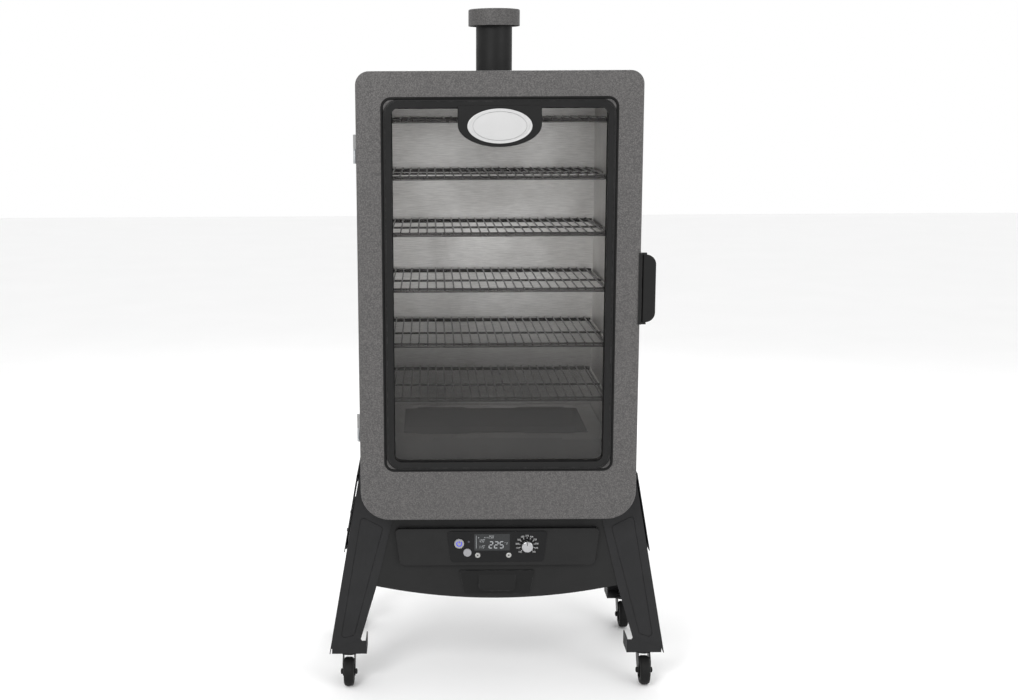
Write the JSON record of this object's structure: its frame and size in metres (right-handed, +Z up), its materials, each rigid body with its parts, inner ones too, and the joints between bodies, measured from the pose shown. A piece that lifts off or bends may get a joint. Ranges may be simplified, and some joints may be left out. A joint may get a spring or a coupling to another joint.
{
  "type": "pellet smoker grill",
  "caption": "Upright wood-pellet smoker: glazed door, wire racks, chimney, rear pellet hopper, control panel and a splayed stand on casters.",
  "frame": {"origin": "on the floor, at the centre of the object's box seen from above", "axes": "+Z up, the door faces -Y, +X to the right as seen from the front"},
  "size_m": [0.7954, 0.671, 1.585],
  "materials": {
    "hammertone": "rough",
    "stainless": "satin",
    "mineral_wool": "matte",
    "black_paint": "satin",
    "galvanised": "satin",
    "hinge_grey": "satin",
    "enamel": "satin",
    "rack_wire": "satin",
    "frame_black": "satin",
    "door_glass": "polished",
    "gasket_black": "matte",
    "badge_silver": "satin",
    "controller_black": "satin",
    "display_lens": "polished",
    "button_grey": "satin",
    "knob_chrome": "polished",
    "jack_metal": "satin",
    "fan_plastic": "matte",
    "caster_black": "satin",
    "wheel_rubber": "matte"
  },
  "bodies": {
    "cabinet": {"cabinet_shell": "hammertone", "cabinet_liner": "stainless", "rack_rails": "stainless", "heat_deflector": "stainless", "fire_pot": "stainless", "auger_tube": "stainless", "temperature_probe": "stainless", "igniter": "stainless", "cabinet_insulation": "mineral_wool", "chimney_pipe": "black_paint", "front_legs": "black_paint", "rear_legs": "black_paint", "front_valance": "black_paint", "stand_panels": "black_paint", "control_fascia": "black_paint", "hopper": "black_paint", "latch_striker": "black_paint", "drawer_runners": "galvanised", "fan_housing": "galvanised", "auger_motor": "galvanised", "caster_stems": "galvanised", "cabinet_hinges": "galvanised", "controller_housing": "controller_black", "power_inlet": "controller_black", "display": "display_lens", "probe_jacks": "jack_metal"},
    "door": {"door_skin": "hammertone", "door_liner": "stainless", "window_frame": "frame_black", "window_glass": "door_glass", "door_gasket": "gasket_black", "badge_plate": "badge_silver", "door_hinges": "hinge_grey", "latch_base": "black_paint"},
    "latch": {"latch_handle": "black_paint"},
    "cap": {"chimney_cap": "hammertone"},
    "pan": {"water_pan": "enamel"},
    "auger": {"auger_screw": "stainless"},
    "impeller": {"fan_impeller": "fan_plastic"},
    "lid": {"hopper_lid": "black_paint"},
    "power": {"power_button": "button_grey"},
    "prime": {"prime_button": "button_grey"},
    "knob": {"temperature_knob": "knob_chrome"},
    "drawer": {"drip_drawer": "black_paint"},
    "rack_1_body": {"rack_1": "rack_wire"},
    "rack_2_body": {"rack_2": "rack_wire"},
    "rack_3_body": {"rack_3": "rack_wire"},
    "rack_4_body": {"rack_4": "rack_wire"},
    "rack_5_body": {"rack_5": "rack_wire"},
    "rack_6_body": {"rack_6": "rack_wire"},
    "fork_front_left": {"caster_fork_front_left": "caster_black"},
    "wheel_front_left": {"caster_wheel_front_left": "wheel_rubber"},
    "fork_front_right": {"caster_fork_front_right": "caster_black"},
    "wheel_front_right": {"caster_wheel_front_right": "wheel_rubber"},
    "fork_rear_left": {"caster_fork_rear_left": "caster_black"},
    "wheel_rear_left": {"caster_wheel_rear_left": "wheel_rubber"},
    "fork_rear_right": {"caster_fork_rear_right": "caster_black"},
    "wheel_rear_right": {"caster_wheel_rear_right": "wheel_rubber"},
    "pedal_rear_left": {"brake_pedal_rear_left": "caster_black"},
    "pedal_rear_right": {"brake_pedal_rear_right": "caster_black"}
  },
  "joints": [
    {"name": "door_swing", "type": "hinge", "parent": "cabinet", "child": "door", "pos_m": [-0.3198, -0.2765, 0.9], "axis": [0, 0, -1], "range_deg": [0, 135]},
    {"name": "latch_pull", "type": "hinge", "parent": "door", "child": "latch", "pos_m": [0.324, -0.3175, 0.958], "axis": [0, 0, -1], "range_deg": [0, 30]},
    {"name": "cap_height", "type": "slide", "parent": "cabinet", "child": "cap", "axis": [0, 0, 1], "range_m": [-0.016, 0.012]},
    {"name": "water_pan_lift", "type": "slide", "parent": "cabinet", "child": "pan", "axis": [0, 0, 1], "range_m": [0, 0.08]},
    {"name": "auger_turn", "type": "hinge", "parent": "cabinet", "child": "auger", "pos_m": [0, 0.0755, 0.516], "axis": [0, 1, 0], "continuous": true},
    {"name": "fan_turn", "type": "hinge", "parent": "cabinet", "child": "impeller", "pos_m": [-0.12, 0.0235, 0.4], "axis": [0, 0, 1], "continuous": true},
    {"name": "hopper_lid_swing", "type": "hinge", "parent": "cabinet", "child": "lid", "pos_m": [0, 0.1825, 0.937], "axis": [1, 0, 0], "range_deg": [0, 75]},
    {"name": "power_press", "type": "slide", "parent": "cabinet", "child": "power", "axis": [0, 1, 0], "range_m": [0, 0.0015], "stiffness_N_per_m": 1500},
    {"name": "prime_press", "type": "slide", "parent": "cabinet", "child": "prime", "axis": [0, 1, 0], "range_m": [0, 0.0015], "stiffness_N_per_m": 1500},
    {"name": "knob_turn", "type": "hinge", "parent": "cabinet", "child": "knob", "pos_m": [0.0693, -0.2835, 0.351], "axis": [0, 1, 0], "range_deg": [-135, 135]},
    {"name": "drawer_pull", "type": "slide", "parent": "cabinet", "child": "drawer", "axis": [0, -1, 0], "range_m": [0, 0.18]},
    {"name": "rack_1_slide", "type": "slide", "parent": "cabinet", "child": "rack_1_body", "axis": [0, -1, 0], "range_m": [0, 0.008]},
    {"name": "rack_2_slide", "type": "slide", "parent": "cabinet", "child": "rack_2_body", "axis": [0, -1, 0], "range_m": [0, 0.008]},
    {"name": "rack_3_slide", "type": "slide", "parent": "cabinet", "child": "rack_3_body", "axis": [0, -1, 0], "range_m": [0, 0.008]},
    {"name": "rack_4_slide", "type": "slide", "parent": "cabinet", "child": "rack_4_body", "axis": [0, -1, 0], "range_m": [0, 0.008]},
    {"name": "rack_5_slide", "type": "slide", "parent": "cabinet", "child": "rack_5_body", "axis": [0, -1, 0], "range_m": [0, 0.008]},
    {"name": "rack_6_slide", "type": "slide", "parent": "cabinet", "child": "rack_6_body", "axis": [0, -1, 0], "range_m": [0, 0.008]},
    {"name": "swivel_front_left", "type": "hinge", "parent": "cabinet", "child": "fork_front_left", "pos_m": [-0.352, -0.2405, 0.074], "axis": [0, 0, 1], "continuous": true},
    {"name": "roll_front_left", "type": "hinge", "parent": "fork_front_left", "child": "wheel_front_left", "pos_m": [-0.352, -0.2645, 0.034], "axis": [1, 0, 0], "continuous": true},
    {"name": "swivel_front_right", "type": "hinge", "parent": "cabinet", "child": "fork_front_right", "pos_m": [0.352, -0.2405, 0.074], "axis": [0, 0, 1], "continuous": true},
    {"name": "roll_front_right", "type": "hinge", "parent": "fork_front_right", "child": "wheel_front_right", "pos_m": [0.352, -0.2645, 0.034], "axis": [1, 0, 0], "continuous": true},
    {"name": "swivel_rear_left", "type": "hinge", "parent": "cabinet", "child": "fork_rear_left", "pos_m": [-0.352, 0.1315, 0.074], "axis": [0, 0, 1], "continuous": true},
    {"name": "roll_rear_left", "type": "hinge", "parent": "fork_rear_left", "child": "wheel_rear_left", "pos_m": [-0.352, 0.1075, 0.034], "axis": [1, 0, 0], "continuous": true},
    {"name": "pedal_tilt_rear_left", "type": "hinge", "parent": "fork_rear_left", "child": "pedal_rear_left", "pos_m": [-0.352, 0.1535, 0.0686], "axis": [1, 0, 0], "range_deg": [0, 15]},
    {"name": "swivel_rear_right", "type": "hinge", "parent": "cabinet", "child": "fork_rear_right", "pos_m": [0.352, 0.1315, 0.074], "axis": [0, 0, 1], "continuous": true},
    {"name": "roll_rear_right", "type": "hinge", "parent": "fork_rear_right", "child": "wheel_rear_right", "pos_m": [0.352, 0.1075, 0.034], "axis": [1, 0, 0], "continuous": true},
    {"name": "pedal_tilt_rear_right", "type": "hinge", "parent": "fork_rear_right", "child": "pedal_rear_right", "pos_m": [0.352, 0.1535, 0.0686], "axis": [1, 0, 0], "range_deg": [0, 15]}
  ]
}
